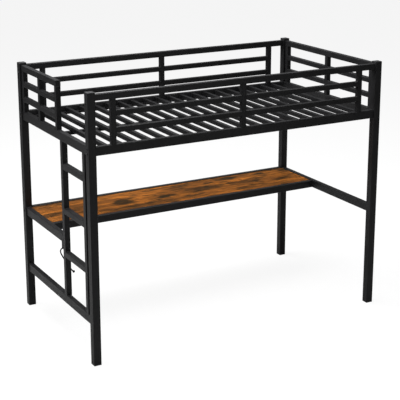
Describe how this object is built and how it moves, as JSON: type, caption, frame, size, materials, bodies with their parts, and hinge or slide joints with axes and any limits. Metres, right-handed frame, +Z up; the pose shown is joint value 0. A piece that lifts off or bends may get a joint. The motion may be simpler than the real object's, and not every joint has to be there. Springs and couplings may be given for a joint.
{
  "type": "loft bed with desk",
  "caption": "Steel loft bed for a twin mattress, with guard rails, an end ladder, a slatted deck and a long wood desk board along the back.",
  "frame": {"origin": "on the floor, under the middle of the footprint", "axes": "+X along the bed away from the ladder, +Y from the open front to the desk side, +Z up"},
  "size_m": [1.9866, 1.08, 1.594],
  "materials": {
    "steel": "satin black powder coat",
    "slat_steel": "satin black powder coat",
    "plastic": "moulded black plastic",
    "wood": "rustic brown laminate",
    "bolts": "black zinc plate"
  },
  "bodies": {
    "root": {"back_guard": "steel", "back_side_rail": "steel", "bag_hook": "steel", "centre_support_rail": "slat_steel", "desk_back_rail": "steel", "desk_board": "wood", "desk_bolt_back_left": "bolts", "desk_bolt_back_right": "bolts", "desk_front_rail": "steel", "desk_left_rail": "steel", "desk_right_rail": "steel", "foot_back_left": "plastic", "foot_back_right": "plastic", "foot_front_left": "plastic", "foot_front_right": "plastic", "front_guard": "steel", "front_side_rail": "steel", "ladder": "steel", "left_bottom_rail": "steel", "left_end_rail": "steel", "left_guard": "steel", "post_back_left": "steel", "post_back_right": "steel", "post_cap_back_left": "plastic", "post_cap_back_right": "plastic", "post_cap_front_left": "plastic", "post_cap_front_right": "plastic", "post_front_left": "steel", "post_front_right": "steel", "right_end_rail": "steel", "right_guard": "steel", "side_rail_bolt_back_left_lower": "bolts", "side_rail_bolt_back_left_upper": "bolts", "side_rail_bolt_back_right_lower": "bolts", "side_rail_bolt_back_right_upper": "bolts", "side_rail_bolt_front_left_lower": "bolts", "side_rail_bolt_front_left_upper": "bolts", "side_rail_bolt_front_right_lower": "bolts", "side_rail_bolt_front_right_upper": "bolts", "slat_01": "slat_steel", "slat_02": "slat_steel", "slat_03": "slat_steel", "slat_04": "slat_steel", "slat_05": "slat_steel", "slat_06": "slat_steel", "slat_07": "slat_steel", "slat_08": "slat_steel", "slat_09": "slat_steel", "slat_10": "slat_steel", "slat_11": "slat_steel", "slat_12": "slat_steel", "slat_13": "slat_steel", "slat_14": "slat_steel", "slat_15": "slat_steel", "slat_16": "slat_steel", "slat_17": "slat_steel", "slat_18": "slat_steel", "slat_19": "slat_steel", "slat_20": "slat_steel"}
  },
  "joints": []
}
